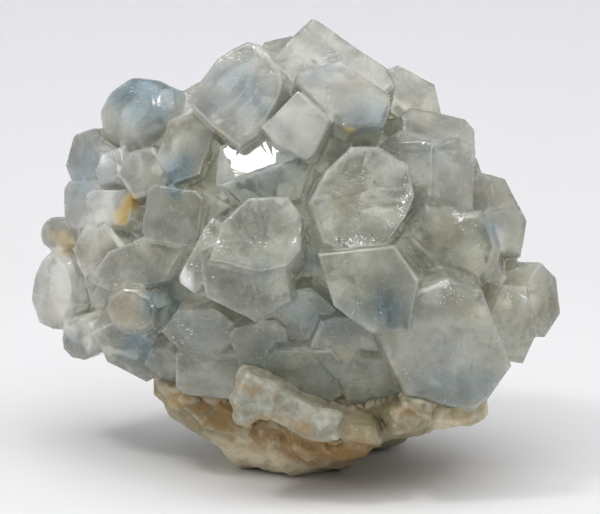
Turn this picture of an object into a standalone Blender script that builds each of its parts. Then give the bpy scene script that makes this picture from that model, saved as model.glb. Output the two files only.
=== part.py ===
"""A hand specimen of euclase: blocky crystals grown together in one rounded cluster, on a wedge of feldspar.

The design is written in millimetres, in a growth frame whose origin is the heart of the cluster: `across` to
the right, `rise` upwards and `out` towards the front. That frame leans back by LEAN, so the specimen stands
tilted on the flat underside of its matrix. Both sub-parts hang from one empty, which stands them on z = 0
with the middle of their bounding box over the origin.
"""
import math
import random
from collections import namedtuple

import bmesh
import bpy
from mathutils import Matrix, Vector, noise

MM = 0.001
LEAN = math.radians(12)
HEART_HEIGHT = 11.9
# How far the matrix stays clear of the crystals that it holds.
CONTACT_GAP = 0.3

# The lobes of the core in which every crystal is rooted: middle, then half sizes across, in rise and out.
CORE_LOBES = [
    (Vector((0.2, 0.4, -0.4)), Vector((9.6, 7.8, 7.2))),
    (Vector((-8.8, -0.3, -3.4)), Vector((4.4, 5.2, 3.8))),
    (Vector((7.8, -1.6, -0.6)), Vector((4.4, 4.2, 4.6))),
]

# Outlines of a crystal seen along its length, one corner per pair, inside a square from -1 to 1.
OUTLINES = {
    "diamond": [(1, 0), (0.22, 0.86), (-0.22, 0.86), (-1, 0), (-0.22, -0.86), (0.22, -0.86)],
    "hexagon": [(1, -0.1), (0.52, 0.95), (-0.5, 1), (-1, 0.1), (-0.52, -0.95), (0.5, -1)],
    "block": [(1, -0.62), (1, 0.66), (0.7, 1), (-0.74, 1), (-1, 0.7), (-1, -0.7), (-0.7, -1), (0.74, -1)],
    "peak": [(1, -0.62), (1, 0.66), (0.7, 1), (-0.85, 1), (-1, 0.9), (-1, -0.7), (-0.7, -1), (0.74, -1)],
    "lintel": [(1, -0.1), (0.65, 1), (-0.65, 1), (-1, 0.1), (-0.5, -1), (0.5, -1)],
    "kite": [(1, 0.1), (0.3, 0.9), (-0.55, 0.75), (-1, 0), (-0.5, -0.8), (0.35, -0.95)],
    "shield": [(1, 0.25), (0.9, 0.6), (0.45, 0.9), (0.2, 1), (-0.15, 0.9), (-0.5, 0.65), (-0.8, 0.2),
               (-1, -0.15), (-0.55, -0.55), (0.05, -1), (0.45, -0.75), (0.95, 0)],
    "coffin": [(1, -0.25), (1, 0.1), (0, 1), (-1, 0.7), (-1, 0.3), (-0.35, -0.6), (0.1, -1), (0.8, -0.8)],
    "leaf": [(1, 0.2), (0, 1), (-1, -0.1), (-0.65, -0.5), (0.3, -1), (0.6, -0.8)],
    "wide_heart": [(1, 0.2), (0.6, 1), (-0.45, 0.95), (-1, 0.9), (-0.6, -0.35), (0.1, -1), (0.9, -0.95)],
    "drum": [(1, 0.1), (0.95, 0.6), (0.4, 1), (-0.2, 0.95), (-0.65, 0.55), (-1, 0), (-0.9, -0.35),
             (-0.7, -0.8), (-0.4, -0.95), (0.1, -1), (0.55, -0.8), (0.85, -0.35)],
    "pillow": [(1, -0.1), (0.85, 0.4), (0.6, 0.8), (0.2, 0.85), (-0.5, 1), (-1, 0.2), (-0.25, -0.65),
               (0.3, -0.95), (0.65, -1), (0.95, -0.65)],
    "great": [(1, -0.25), (0.5, 0.8), (0, 1), (-0.45, 0.8), (-1, 0.1), (-0.55, -0.8), (0.5, -1),
              (0.65, -0.85)],
    "barn": [(1, 0.5), (0.65, 1), (-0.2, 0.95), (-0.7, 0.35), (-1, -0.7), (0.15, -1), (0.75, -0.9),
             (1, -0.4)],
    "round": [(1, 0.05), (0.8, 0.62), (0.3, 0.95), (-0.35, 0.96), (-0.85, 0.6), (-1, -0.05), (-0.75, -0.68),
              (-0.25, -0.97), (0.35, -0.93), (0.8, -0.6)],
}
# Ends of a crystal, from the tip down: how far below the tip, in smaller half sizes, and the share of the
# outline's width and height there.
CAPS = {
    "flat": [(0, 0.93, 0.93), (0.06, 1, 1)],
    "terraced": [(0, 0.74, 0.7), (0.03, 0.77, 0.73), (0.04, 0.93, 0.93), (0.1, 1, 1)],
    "bevelled": [(0, 0.82, 0.8), (0.16, 1, 1)],
    "dome": [(0, 0.36, 0.36), (0.08, 0.64, 0.64), (0.22, 0.86, 0.86), (0.48, 1, 1)],
    "roof": [(0, 0.84, 0.04), (0.5, 1, 1)],
    "gable": [(0, 0.66, 0.04), (0.5, 1, 1)],
}
ROOT_FLARE = 1.06
# How far a corner strays from its place in the outline, so that no two crystals are alike.
OUTLINE_WANDER = 0.06
# Caps that meet in a ridge, where a straying corner would fold the flat faces.
TRUE_CAPS = ("roof", "gable")

# Where the middle of the crystal's end is, its half sizes, the way its length points (yaw to the right and
# pitch upwards from straight out), its spin about that, its form and its length.
Crystal = namedtuple("Crystal", "name across rise out half_width half_height yaw pitch spin outline cap "
                                "length")

FRONT_CRYSTALS = [
    # The crown.
    Crystal("shoulder", -3.5, 8.85, 7.1, 2.7, 3.0, -6, 8, 0, "shield", "flat", 8),
    Crystal("behind_summit", -1.0, 11.7, 0.5, 1.5, 1.1, -10, 40, 20, "hexagon", "flat", 5),
    Crystal("summit", 1.9, 10.4, 2.5, 3.1, 2.3, 8, 28, -40, "peak", "flat", 7),
    Crystal("brow", 2.4, 8.8, 6.3, 2.55, 2.1, 5, 14, 0, "coffin", "flat", 8),
    Crystal("notch", -6.0, 8.9, 0.5, 1.2, 1.0, -15, 30, 30, "block", "flat", 6),
    # The belt of faces below the crown.
    Crystal("lozenge", -0.2, 7.1, 8.0, 1.8, 2.05, -4, 4, 0, "leaf", "flat", 7),
    Crystal("mirror", -2.1, 4.7, 7.7, 2.75, 2.1, -6, 0, 20, "lintel", "roof", 8),
    Crystal("recess", 1.6, 6.0, 4.5, 1.3, 1.3, 0, 10, 10, "block", "flat", 5),
    Crystal("cheek", 3.3, 3.2, 9.3, 2.85, 3.0, 8, 12, 0, "drum", "flat", 8),
    # The right side, from the top down.
    Crystal("right_peak", 6.1, 9.2, -1.0, 2.3, 1.8, 20, 30, -32, "hexagon", "flat", 6),
    Crystal("right_wedge", 8.0, 6.5, 0.8, 2.5, 1.8, 30, 18, -8, "block", "flat", 8),
    Crystal("right_block", 7.2, 4.7, 6.4, 2.5, 2.7, 8, 14, 84, "block", "gable", 8),
    Crystal("far_right", 11.3, 2.4, 1.5, 2.8, 1.9, 45, 12, -62, "hexagon", "flat", 8),
    Crystal("right_corner", 10.1, 3.5, 3.4, 1.1, 1.5, 30, 10, -20, "kite", "flat", 6),
    Crystal("pillow", 8.3, 0.7, 6.6, 2.9, 2.3, 14, 2, 0, "pillow", "bevelled", 8),
    Crystal("right_lath", 11.8, -3.7, 6.0, 2.3, 1.4, 32, -5, -68, "hexagon", "flat", 9),
    Crystal("right_tip", 13.7, -2.4, 2.0, 2.1, 1.5, 48, 0, -80, "hexagon", "flat", 8),
    # The big faces of the lower front.
    Crystal("heart", 3.5, -1.8, 10.2, 2.75, 2.35, -6, -5, 0, "wide_heart", "flat", 8),
    Crystal("great_prism", 7.8, -4.8, 9.1, 3.8, 3.75, 8, -10, 0, "great", "flat", 11),
    Crystal("centre_top", -2.4, 1.3, 9.8, 2.5, 2.05, -4, 13, 0, "barn", "flat", 8),
    Crystal("centre_low", -3.0, -1.1, 9.35, 3.0, 2.1, -8, -7, -25, "hexagon", "flat", 8),
    Crystal("centre_side", -5.3, 0.0, 8.4, 2.2, 0.8, -28, -4, 58, "block", "bevelled", 7),
    # The left side, from the top down.
    Crystal("blue_dome", -9.6, 8.6, 0.2, 3.0, 2.3, -34, 22, 0, "round", "dome", 6),
    Crystal("left_post", -6.4, 6.2, 4.1, 2.4, 1.4, -12, 10, 76, "hexagon", "flat", 7),
    Crystal("left_mid", -8.8, 4.8, 2.2, 1.6, 1.5, -18, 8, 12, "hexagon", "bevelled", 6),
    Crystal("left_pale", -10.8, 5.2, 0.0, 1.4, 1.0, -30, 10, 60, "kite", "flat", 6),
    Crystal("left_upper", -12.6, 5.7, -2.3, 2.0, 1.9, -58, 8, 75, "hexagon", "bevelled", 6),
    Crystal("left_step", -12.5, 3.0, -1.4, 1.5, 1.4, -42, 5, 0, "block", "flat", 6),
    Crystal("left_face", -7.1, 2.3, 5.1, 1.7, 1.6, -16, 4, -7, "block", "flat", 6),
    Crystal("stained", -10.8, 2.8, 0.8, 1.6, 1.1, -28, 10, 0, "block", "flat", 6),
    Crystal("left_bump", -14.4, 1.4, -3.1, 1.8, 1.1, -52, 8, 0, "round", "dome", 6),
    Crystal("left_milky", -11.5, 0.4, 0.9, 2.0, 1.9, -32, 0, 0, "kite", "bevelled", 6),
    Crystal("left_slab", -9.1, -0.4, 3.6, 3.2, 1.6, -24, 0, 18, "kite", "flat", 7),
    Crystal("left_cream", -9.4, -3.0, 4.2, 1.6, 1.4, -20, -4, 0, "round", "bevelled", 6),
    Crystal("left_end", -14.3, -1.9, -2.3, 2.4, 2.2, -46, 0, 84, "round", "bevelled", 5),
    Crystal("left_low", -12.7, -4.8, -1.0, 2.0, 1.3, -50, -20, 15, "round", "bevelled", 6),
    Crystal("left_keel", -9.5, -5.4, 0.9, 2.5, 1.7, -25, -35, -30, "hexagon", "flat", 7),
    # The rim behind the left and right ends.
    Crystal("left_rear", -13.4, -1.2, -5.8, 2.4, 2.0, -112, 2, 35, "hexagon", "terraced", 6),
    Crystal("left_rear_low", -10.6, -4.6, -5.2, 2.2, 1.8, -122, -28, 10, "kite", "flat", 6),
    Crystal("left_rear_high", -10.8, 3.6, -5.6, 2.1, 1.9, -125, 20, 60, "block", "bevelled", 6),
    Crystal("right_rear", 11.6, -1.6, -2.6, 2.5, 2.1, 98, 4, 25, "hexagon", "flat", 6),
    Crystal("right_rear_low", 10.2, -4.8, -3.4, 2.2, 1.8, 112, -20, -20, "block", "roof", 6),
    # The shaded underside.
    Crystal("under_a", 0.0, -3.1, 7.6, 2.1, 1.7, -3, -20, 0, "kite", "flat", 7),
    Crystal("under_b", 2.7, -4.9, 7.5, 2.2, 2.0, 4, -28, 15, "hexagon", "flat", 7),
    Crystal("under_c", 0.3, -6.6, 6.4, 2.1, 2.0, -3, -40, 0, "block", "flat", 7),
    Crystal("under_d", 4.0, -7.1, 6.2, 2.0, 2.2, 6, -44, 0, "hexagon", "flat", 7),
    Crystal("under_e", -5.3, -4.1, 6.0, 2.5, 1.6, -12, -20, 0, "kite", "flat", 7),
    Crystal("under_f", -4.8, -6.6, 4.4, 2.2, 1.9, -10, -42, -8, "block", "flat", 7),
    Crystal("under_g", -7.4, -6.1, 2.7, 1.4, 1.6, -25, -40, 0, "kite", "flat", 7),
    Crystal("under_h", -2.1, -5.1, 6.9, 1.6, 1.7, -4, -24, 10, "block", "flat", 6),
]

# The crystals of the back follow one rule: their ends lie near an ellipsoid, spread over its far half.
HIDDEN_SEED = 11
HIDDEN_DIRECTIONS = 92
HIDDEN_CENTRE = Vector((-0.7, 0.6, -1.3))
HIDDEN_SIZES = Vector((12.6, 9.9, 9.2))
HIDDEN_FRONT_LIMIT = -0.1
HIDDEN_LOW_LIMIT = -0.62
HIDDEN_HALF_WIDTH = (1.8, 2.9)
HIDDEN_HEIGHT_SHARE = (0.65, 0.95)
HIDDEN_REACH_SHARE = (0.93, 1.0)
HIDDEN_DRIFT = (-12, 12)
HIDDEN_SPIN = (0, 180)
HIDDEN_OUTLINES = ["diamond", "hexagon", "block", "kite", "hexagon", "round"]
HIDDEN_CAPS = ["flat", "terraced", "bevelled", "roof", "flat", "gable"]
HIDDEN_LENGTH = 7

# A lump of the matrix: its middle, its half sizes, its tilt about the `out` direction, and its roundness,
# from 1 for an ellipsoid down to 0 for a box.
Lump = namedtuple("Lump", "name across rise out half_across half_rise half_out tilt roundness")

MATRIX_LUMPS = [
    Lump("body", 0.3, -9.5, -1.2, 3.9, 3.0, 4.2, 0, 0.8),
    Lump("back_body", 1.2, -8.4, -4.6, 6.0, 3.3, 4.0, 6, 0.8),
    Lump("right_body", 4.6, -8.9, 1.2, 3.2, 1.5, 4.8, 4, 0.8),
    Lump("left_skirt", -5.2, -8.4, -0.4, 3.4, 1.7, 3.4, -38, 0.8),
    Lump("heel", -1.9, -10.8, -2.0, 3.0, 1.6, 2.8, -26, 0.8),
    Lump("keel", 1.9, -10.0, 2.4, 2.7, 1.35, 3.0, 6, 0.7),
    Lump("right_skirt", 7.6, -8.8, 0.6, 2.9, 0.8, 3.4, 7, 0.5),
    Lump("ledge", -0.6, -8.3, 6.4, 2.9, 0.9, 2.2, -25, 0.4),
    Lump("ledge_top", -2.3, -7.5, 7.1, 1.2, 1.0, 1.7, -25, 0.35),
    Lump("ledge_foot", 1.4, -9.1, 6.6, 0.9, 0.85, 2.2, -10, 0.4),
    Lump("knob", -3.0, -8.6, 6.9, 0.55, 0.5, 1.1, 0, 0.7),
    Lump("bead", 3.3, -9.5, 5.4, 1.3, 0.75, 2.2, -6, 0.65),
    Lump("nodule", 5.8, -8.6, 6.2, 1.2, 0.85, 2.4, 20, 0.5),
]
LUMP_SUBDIVISIONS = 3
# The matrix's surface swells and shrinks over these lengths, by these shares of the lump's size.
SWELLINGS = ((2.6, 0.2), (0.9, 0.16))

Finish = namedtuple("Finish", "colour roughness")
EUCLASE = Finish((0.44, 0.47, 0.46, 1), 0.3)
FELDSPAR = Finish((0.56, 0.47, 0.35, 1), 0.8)


def clear_scene():
    for scene_object in list(bpy.data.objects):
        bpy.data.objects.remove(scene_object)


def material(name, finish):
    made = bpy.data.materials.new(name)
    made.use_nodes = True
    shader = made.node_tree.nodes["Principled BSDF"]
    shader.inputs["Base Color"].default_value = finish.colour
    shader.inputs["Roughness"].default_value = finish.roughness
    shader.inputs["Metallic"].default_value = 0
    made.diffuse_color = finish.colour
    return made


def crystal_axes(yaw, pitch, spin):
    """A crystal's own width, height and length directions as columns of a matrix. Angles in degrees."""
    yaw, pitch, spin = (math.radians(angle) for angle in (yaw, pitch, spin))
    length = Vector((math.sin(yaw) * math.cos(pitch), math.sin(pitch), math.cos(yaw) * math.cos(pitch)))
    level = Vector((math.cos(yaw), 0, -math.sin(yaw)))
    upright = length.cross(level)
    width = level * math.cos(spin) + upright * math.sin(spin)
    height = length.cross(width)
    return Matrix((width, height, length)).transposed()


def crystal_outline(crystal):
    """The corners of a crystal's outline, each a little off its place unless the cap needs true edges."""
    corners = OUTLINES[crystal.outline]
    if crystal.cap in TRUE_CAPS:
        return corners
    dice = random.Random(crystal.name)
    reach = OUTLINE_WANDER
    return [(x + dice.uniform(-reach, reach), y + dice.uniform(-reach, reach)) for x, y in corners]


def crystal_rings(crystal, swell=0.0):
    """The loops of corners that a crystal is lofted through, tip first, in the growth frame."""
    axes = crystal_axes(crystal.yaw, crystal.pitch, crystal.spin)
    tip = Vector((crystal.across, crystal.rise, crystal.out))
    small = min(crystal.half_width, crystal.half_height)
    outline = crystal_outline(crystal)
    levels = [(drop * small, x, y) for drop, x, y in CAPS[crystal.cap]]
    levels.append((crystal.length, ROOT_FLARE, ROOT_FLARE))
    rings = []
    for drop, share_x, share_y in levels:
        half_x = crystal.half_width * share_x + swell
        half_y = crystal.half_height * share_y + swell
        corners = [Vector((x * half_x, y * half_y, swell - drop)) for x, y in outline]
        rings.append([tip + axes @ corner for corner in corners])
    return rings


def crystal_mesh(crystal, swell=0.0):
    """One crystal as a closed bmesh, in the growth frame and millimetres."""
    bm = bmesh.new()
    loops = [[bm.verts.new(corner) for corner in ring] for ring in crystal_rings(crystal, swell)]
    bm.faces.new(loops[0])
    bm.faces.new(list(reversed(loops[-1])))
    for upper, lower in zip(loops, loops[1:]):
        for i, corner in enumerate(upper):
            following = (i + 1) % len(upper)
            bm.faces.new((corner, lower[i], lower[following], upper[following]))
    bmesh.ops.recalc_face_normals(bm, faces=bm.faces)
    return bm


def hidden_crystals():
    """The crystals of the back and the far slopes, spread by the golden angle."""
    dice = random.Random(HIDDEN_SEED)
    golden_angle = math.pi * (3 - math.sqrt(5))
    crystals = []
    for i in range(HIDDEN_DIRECTIONS):
        rise = 1 - 2 * (i + 0.5) / HIDDEN_DIRECTIONS
        turn = i * golden_angle
        level = math.sqrt(1 - rise * rise)
        way = Vector((level * math.sin(turn), rise, level * math.cos(turn)))
        half_width = dice.uniform(*HIDDEN_HALF_WIDTH)
        half_height = half_width * dice.uniform(*HIDDEN_HEIGHT_SHARE)
        reach = dice.uniform(*HIDDEN_REACH_SHARE)
        yaw_drift = dice.uniform(*HIDDEN_DRIFT)
        pitch_drift = dice.uniform(*HIDDEN_DRIFT)
        spin = dice.uniform(*HIDDEN_SPIN)
        outline = dice.choice(HIDDEN_OUTLINES)
        cap = dice.choice(HIDDEN_CAPS)
        if way.z > HIDDEN_FRONT_LIMIT or way.y < HIDDEN_LOW_LIMIT:
            continue
        tip = HIDDEN_CENTRE + way * HIDDEN_SIZES * reach
        yaw = math.degrees(math.atan2(way.x, way.z)) + yaw_drift
        pitch = math.degrees(math.asin(way.y)) + pitch_drift
        crystals.append(Crystal(f"hidden_{i}", tip.x, tip.y, tip.z, half_width, half_height, yaw, pitch, spin,
                                outline, cap, HIDDEN_LENGTH))
    return crystals


def all_crystals():
    return FRONT_CRYSTALS + hidden_crystals()


def core_meshes(swell=0.0):
    lobes = []
    for centre, sizes in CORE_LOBES:
        bm = bmesh.new()
        bmesh.ops.create_icosphere(bm, subdivisions=2, radius=1)
        for vertex in bm.verts:
            vertex.co = centre + vertex.co * (sizes + Vector((swell, swell, swell)))
        lobes.append(bm)
    return lobes


def lump_mesh(lump, seed):
    """One knobbly lump of matrix."""
    bm = bmesh.new()
    bmesh.ops.create_icosphere(bm, subdivisions=LUMP_SUBDIVISIONS, radius=1)
    sizes = Vector((lump.half_across, lump.half_rise, lump.half_out))
    centre = Vector((lump.across, lump.rise, lump.out))
    tilt = Matrix.Rotation(math.radians(lump.tilt), 3, "Z")
    drift = Vector((seed * 7.3, seed * 3.1, seed * 5.7))
    for vertex in bm.verts:
        boxed = Vector([math.copysign(abs(share) ** lump.roundness, share) for share in vertex.co])
        place = boxed * sizes
        swelling = sum(share * noise.noise(place / length + drift) for length, share in SWELLINGS)
        vertex.co = centre + tilt @ (place * (1 + swelling))
    return bm


def mesh_object(name, bm, collection):
    mesh = bpy.data.meshes.new(name)
    bm.to_mesh(mesh)
    bm.free()
    made = bpy.data.objects.new(name, mesh)
    collection.objects.link(made)
    return made


def apply_modifiers(solid):
    evaluated = solid.evaluated_get(bpy.context.evaluated_depsgraph_get())
    shaped = bpy.data.meshes.new_from_object(evaluated)
    solid.modifiers.clear()
    solid.data = shaped


def joined(name, meshes):
    """One solid from meshes that overlap each other."""
    scratch = bpy.data.collections.new(name + "_pieces")
    bpy.context.scene.collection.children.link(scratch)
    for i, bm in enumerate(meshes[1:]):
        mesh_object(f"{name}_piece_{i}", bm, scratch)
    solid = mesh_object(name, meshes[0], bpy.context.scene.collection)
    union = solid.modifiers.new("union", "BOOLEAN")
    union.operation = "UNION"
    union.operand_type = "COLLECTION"
    union.collection = scratch
    apply_modifiers(solid)
    for piece in list(scratch.objects):
        bpy.data.objects.remove(piece)
    bpy.data.collections.remove(scratch)
    return solid


def keep_largest_body(solid):
    """Removes the crumbs that a Boolean leaves beside the main body."""
    bm = bmesh.new()
    bm.from_mesh(solid.data)
    bodies = []
    unseen = set(bm.verts)
    while unseen:
        body = {unseen.pop()}
        edge_of_search = list(body)
        while edge_of_search:
            vertex = edge_of_search.pop()
            for edge in vertex.link_edges:
                other = edge.other_vert(vertex)
                if other in unseen:
                    unseen.remove(other)
                    body.add(other)
                    edge_of_search.append(other)
        bodies.append(body)
    main_body = max(bodies, key=len)
    crumbs = [vertex for vertex in bm.verts if vertex not in main_body]
    bmesh.ops.delete(bm, geom=crumbs, context="VERTS")
    bm.to_mesh(solid.data)
    bm.free()


def make_crystals():
    """Every euclase crystal, grown together with its neighbours and the core."""
    crystals = [crystal_mesh(crystal) for crystal in all_crystals()]
    solid = joined("euclase_crystals", core_meshes() + crystals)
    keep_largest_body(solid)
    solid.data.materials.append(material("euclase", EUCLASE))
    return solid


def cut_base(solid):
    """Cuts the underside flat and level, HEART_HEIGHT below the heart of the cluster."""
    up = Vector((0, math.cos(LEAN), math.sin(LEAN)))
    bm = bmesh.new()
    bm.from_mesh(solid.data)
    everything = bm.verts[:] + bm.edges[:] + bm.faces[:]
    cut = bmesh.ops.bisect_plane(bm, geom=everything, plane_co=-up * HEART_HEIGHT, plane_no=up,
                                 clear_inner=True)
    rim = [item for item in cut["geom_cut"] if isinstance(item, bmesh.types.BMEdge)]
    bmesh.ops.contextual_create(bm, geom=rim)
    bmesh.ops.recalc_face_normals(bm, faces=bm.faces)
    bm.to_mesh(solid.data)
    bm.free()


def make_matrix():
    """The feldspar below the crystals: lumps run together, sawn flat underneath, moulded to the crystals."""
    solid = joined("matrix", [lump_mesh(lump, seed) for seed, lump in enumerate(MATRIX_LUMPS)])
    cut_base(solid)
    swollen = [crystal_mesh(crystal, CONTACT_GAP) for crystal in all_crystals()]
    mould = joined("crystal_mould", core_meshes(CONTACT_GAP) + swollen)
    socket = solid.modifiers.new("socket", "BOOLEAN")
    socket.operation = "DIFFERENCE"
    socket.object = mould
    apply_modifiers(solid)
    bpy.data.objects.remove(mould)
    keep_largest_body(solid)
    solid.data.materials.append(material("feldspar", FELDSPAR))
    return solid


def stand_up(solids):
    """Turns millimetres into metres and hangs the solids from an empty that stands them on the origin."""
    lean = Matrix.Rotation(math.radians(90) - LEAN, 4, "X")
    corners = []
    for solid in solids:
        solid.data.transform(Matrix.Scale(MM, 4))
        corners += [lean @ vertex.co for vertex in solid.data.vertices]
    lowest = Vector([min(corner[axis] for corner in corners) for axis in range(3)])
    highest = Vector([max(corner[axis] for corner in corners) for axis in range(3)])
    stand = bpy.data.objects.new("specimen", None)
    bpy.context.scene.collection.objects.link(stand)
    stand.rotation_euler = (math.radians(90) - LEAN, 0, 0)
    stand.location = (-(lowest.x + highest.x) / 2, -(lowest.y + highest.y) / 2, HEART_HEIGHT * MM)
    for solid in solids:
        solid.parent = stand


def main():
    clear_scene()
    stand_up([make_crystals(), make_matrix()])


if __name__ == "__main__":
    main()
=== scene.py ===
"""The looks of the euclase specimen: hazy, pale blue-grey crystals on cream, rust-stained feldspar.

Every place is written in millimetres in the specimen's growth frame: across to the right, rise upwards and
out towards the front, from the heart of the cluster, which leans back by LEAN.
"""

import math
from collections import namedtuple

import bmesh
import bpy
import numpy as np
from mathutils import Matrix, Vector
from mathutils.bvhtree import BVHTree


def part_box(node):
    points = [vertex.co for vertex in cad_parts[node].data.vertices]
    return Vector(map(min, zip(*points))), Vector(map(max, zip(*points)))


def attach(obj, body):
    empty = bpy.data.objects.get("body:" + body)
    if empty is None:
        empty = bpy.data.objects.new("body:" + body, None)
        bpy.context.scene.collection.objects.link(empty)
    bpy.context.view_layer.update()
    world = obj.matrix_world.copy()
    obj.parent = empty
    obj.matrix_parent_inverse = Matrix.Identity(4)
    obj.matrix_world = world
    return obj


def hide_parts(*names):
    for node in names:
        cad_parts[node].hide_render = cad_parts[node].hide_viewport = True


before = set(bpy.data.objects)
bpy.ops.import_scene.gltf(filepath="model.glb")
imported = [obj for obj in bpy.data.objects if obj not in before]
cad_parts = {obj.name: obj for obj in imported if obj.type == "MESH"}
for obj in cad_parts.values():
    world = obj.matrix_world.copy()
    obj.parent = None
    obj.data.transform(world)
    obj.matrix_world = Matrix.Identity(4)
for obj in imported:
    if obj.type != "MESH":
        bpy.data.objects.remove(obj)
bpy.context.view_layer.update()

MM = 0.001
LEAN = math.radians(12)
HEART = Vector((0.457, -0.011, 11.9)) * MM
ACROSS = Vector((1, 0, 0))
RISE = Vector((0, math.sin(LEAN), math.cos(LEAN)))
OUT = Vector((0, -math.cos(LEAN), math.sin(LEAN)))

# The camera looks straight back along OUT at the heart, from the photographer's distance.
VIEW_DISTANCE = 190 * MM
VIEW_WIDTH = 33.96 * MM
SENSOR_WIDTH = 36.0
CLIP_START = 0.01
CLIP_END = 20


def direction(across, rise, out):
    """A direction of the growth frame in the row frame."""
    return (ACROSS * across + RISE * rise + OUT * out).normalized()


def place(across, rise, out):
    """A point of the growth frame, in millimetres, in the row frame and metres."""
    return HEART + (ACROSS * across + RISE * rise + OUT * out) * MM


# ---------------------------------------------------------------- camera, lights and stage

# A light: its way from the heart, distance, width, power and colour. One polished face mirrors the window.
LightSpec = namedtuple("LightSpec", "name way distance size power colour")
LIGHTS = [
    LightSpec("window", (-0.44, 0.77, 0.47), 0.30, 0.06, 0.20, (1.0, 0.99, 0.97)),
    LightSpec("softbox", (0.1, 0.8, 0.55), 0.30, 0.34, 0.60, (1.0, 1.0, 1.0)),
    LightSpec("side", (-0.9, 0.35, 0.3), 0.40, 0.24, 0.12, (0.94, 0.97, 1.0)),
    LightSpec("far_side", (0.9, 0.4, 0.1), 0.40, 0.20, 0.12, (1.0, 1.0, 1.0)),
]
# The room: brightest overhead, dimmer at eye level and dimmest in front of the specimen. The height and the
# depth of a way through it run from -1 to 1.
AIR_COLOUR = (0.97, 0.97, 1.0, 1)
AIR_HEIGHTS = (0.0, 0.9)
AIR_LEVEL = 0.51
AIR_OVERHEAD = 0.93
AIR_DEPTHS = (-0.9, 0.2)
AIR_FRONT_SHARE = 0.2
# Painted light and shade: the paint is darker in front and lighter towards the back, between these two
# distances.
FLOOR_COLOUR = (0.78, 0.78, 0.785, 1)
BACKDROP_COLOUR = (0.97, 0.965, 0.995, 1)
PAINTED_LIGHT_BETWEEN = (0.05, 0.19)
FLOOR_ROUGHNESS = 0.75
FLOOR_HALF_WIDTH = 0.7
FLOOR_FRONT = -0.7
FLOOR_BACK = 0.34
FLOOR_BEND = 0.12
FLOOR_TOP = 0.8
FLOOR_BEND_STEPS = 12


def make_camera():
    data = bpy.data.cameras.new("camera")
    data.sensor_width = SENSOR_WIDTH
    data.lens = SENSOR_WIDTH * VIEW_DISTANCE / VIEW_WIDTH
    data.clip_start = CLIP_START
    data.clip_end = CLIP_END
    camera = bpy.data.objects.new("camera", data)
    bpy.context.scene.collection.objects.link(camera)
    camera.location = HEART + OUT * VIEW_DISTANCE
    camera.rotation_euler = (math.radians(90) - LEAN, 0, 0)
    bpy.context.scene.camera = camera


def make_lights():
    for spec in LIGHTS:
        data = bpy.data.lights.new(spec.name, "AREA")
        data.shape = "DISK"
        data.size = spec.size
        data.energy = spec.power
        data.color = spec.colour
        light = bpy.data.objects.new(spec.name, data)
        bpy.context.scene.collection.objects.link(light)
        way = direction(*spec.way)
        light.location = HEART + way * spec.distance
        light.rotation_euler = way.to_track_quat("Z", "Y").to_euler()


def coordinate_parts(tree, kind):
    """The three coordinates of one kind, as outputs named X, Y and Z."""
    coordinates = tree.nodes.new("ShaderNodeTexCoord")
    parts = tree.nodes.new("ShaderNodeSeparateXYZ")
    tree.links.new(coordinates.outputs[kind], parts.inputs[0])
    return parts.outputs


def even_rise(tree, value, between, outcomes=(0.0, 1.0)):
    """A straight-line map of an output from one pair of values to another."""
    node = tree.nodes.new("ShaderNodeMapRange")
    node.inputs["From Min"].default_value, node.inputs["From Max"].default_value = between
    node.inputs["To Min"].default_value, node.inputs["To Max"].default_value = outcomes
    tree.links.new(value, node.inputs["Value"])
    return node.outputs["Result"]


def make_air():
    world = bpy.data.worlds.new("studio_air")
    world.use_nodes = True
    tree = world.node_tree
    background = tree.nodes["Background"]
    background.inputs["Color"].default_value = AIR_COLOUR
    parts = coordinate_parts(tree, "Generated")
    height = even_rise(tree, parts["Z"], AIR_HEIGHTS, (AIR_LEVEL, AIR_OVERHEAD))
    depth = even_rise(tree, parts["Y"], AIR_DEPTHS, (AIR_FRONT_SHARE, 1.0))
    strength = tree.nodes.new("ShaderNodeMath")
    strength.operation = "MULTIPLY"
    tree.links.new(height, strength.inputs[0])
    tree.links.new(depth, strength.inputs[1])
    tree.links.new(strength.outputs[0], background.inputs["Strength"])
    bpy.context.scene.world = world


def floor_paint():
    """Pale paint with painted light and shade: a little lighter towards the back and darker in front."""
    paint = bpy.data.materials.new("studio_white")
    paint.use_nodes = True
    tree = paint.node_tree
    shader = tree.nodes["Principled BSDF"]
    shader.inputs["Roughness"].default_value = FLOOR_ROUGHNESS
    depth = even_rise(tree, coordinate_parts(tree, "Object")["Y"], PAINTED_LIGHT_BETWEEN)
    painted_light_tint = tree.nodes.new("ShaderNodeMix")
    painted_light_tint.data_type = "RGBA"
    painted_light_tint.inputs["A"].default_value = FLOOR_COLOUR
    painted_light_tint.inputs["B"].default_value = BACKDROP_COLOUR
    tree.links.new(depth, painted_light_tint.inputs["Factor"])
    tree.links.new(painted_light_tint.outputs["Result"], shader.inputs["Base Color"])
    return paint


def make_floor():
    """A pale floor that curves up into the backdrop."""
    profile = [(FLOOR_FRONT, 0.0)]
    for i in range(FLOOR_BEND_STEPS + 1):
        turn = math.radians(90) * i / FLOOR_BEND_STEPS
        profile.append((FLOOR_BACK + FLOOR_BEND * math.sin(turn), FLOOR_BEND * (1 - math.cos(turn))))
    profile.append((FLOOR_BACK + FLOOR_BEND, FLOOR_TOP))
    bm = bmesh.new()
    left = [bm.verts.new((-FLOOR_HALF_WIDTH, y, z)) for y, z in profile]
    right = [bm.verts.new((FLOOR_HALF_WIDTH, y, z)) for y, z in profile]
    for i in range(len(profile) - 1):
        bm.faces.new((left[i], right[i], right[i + 1], left[i + 1]))
    mesh = bpy.data.meshes.new("floor")
    bm.to_mesh(mesh)
    bm.free()
    mesh.materials.append(floor_paint())
    mesh.shade_smooth()
    floor = bpy.data.objects.new("floor", mesh)
    bpy.context.scene.collection.objects.link(floor)


# ---------------------------------------------------------------- repeatable noise over many points

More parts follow.
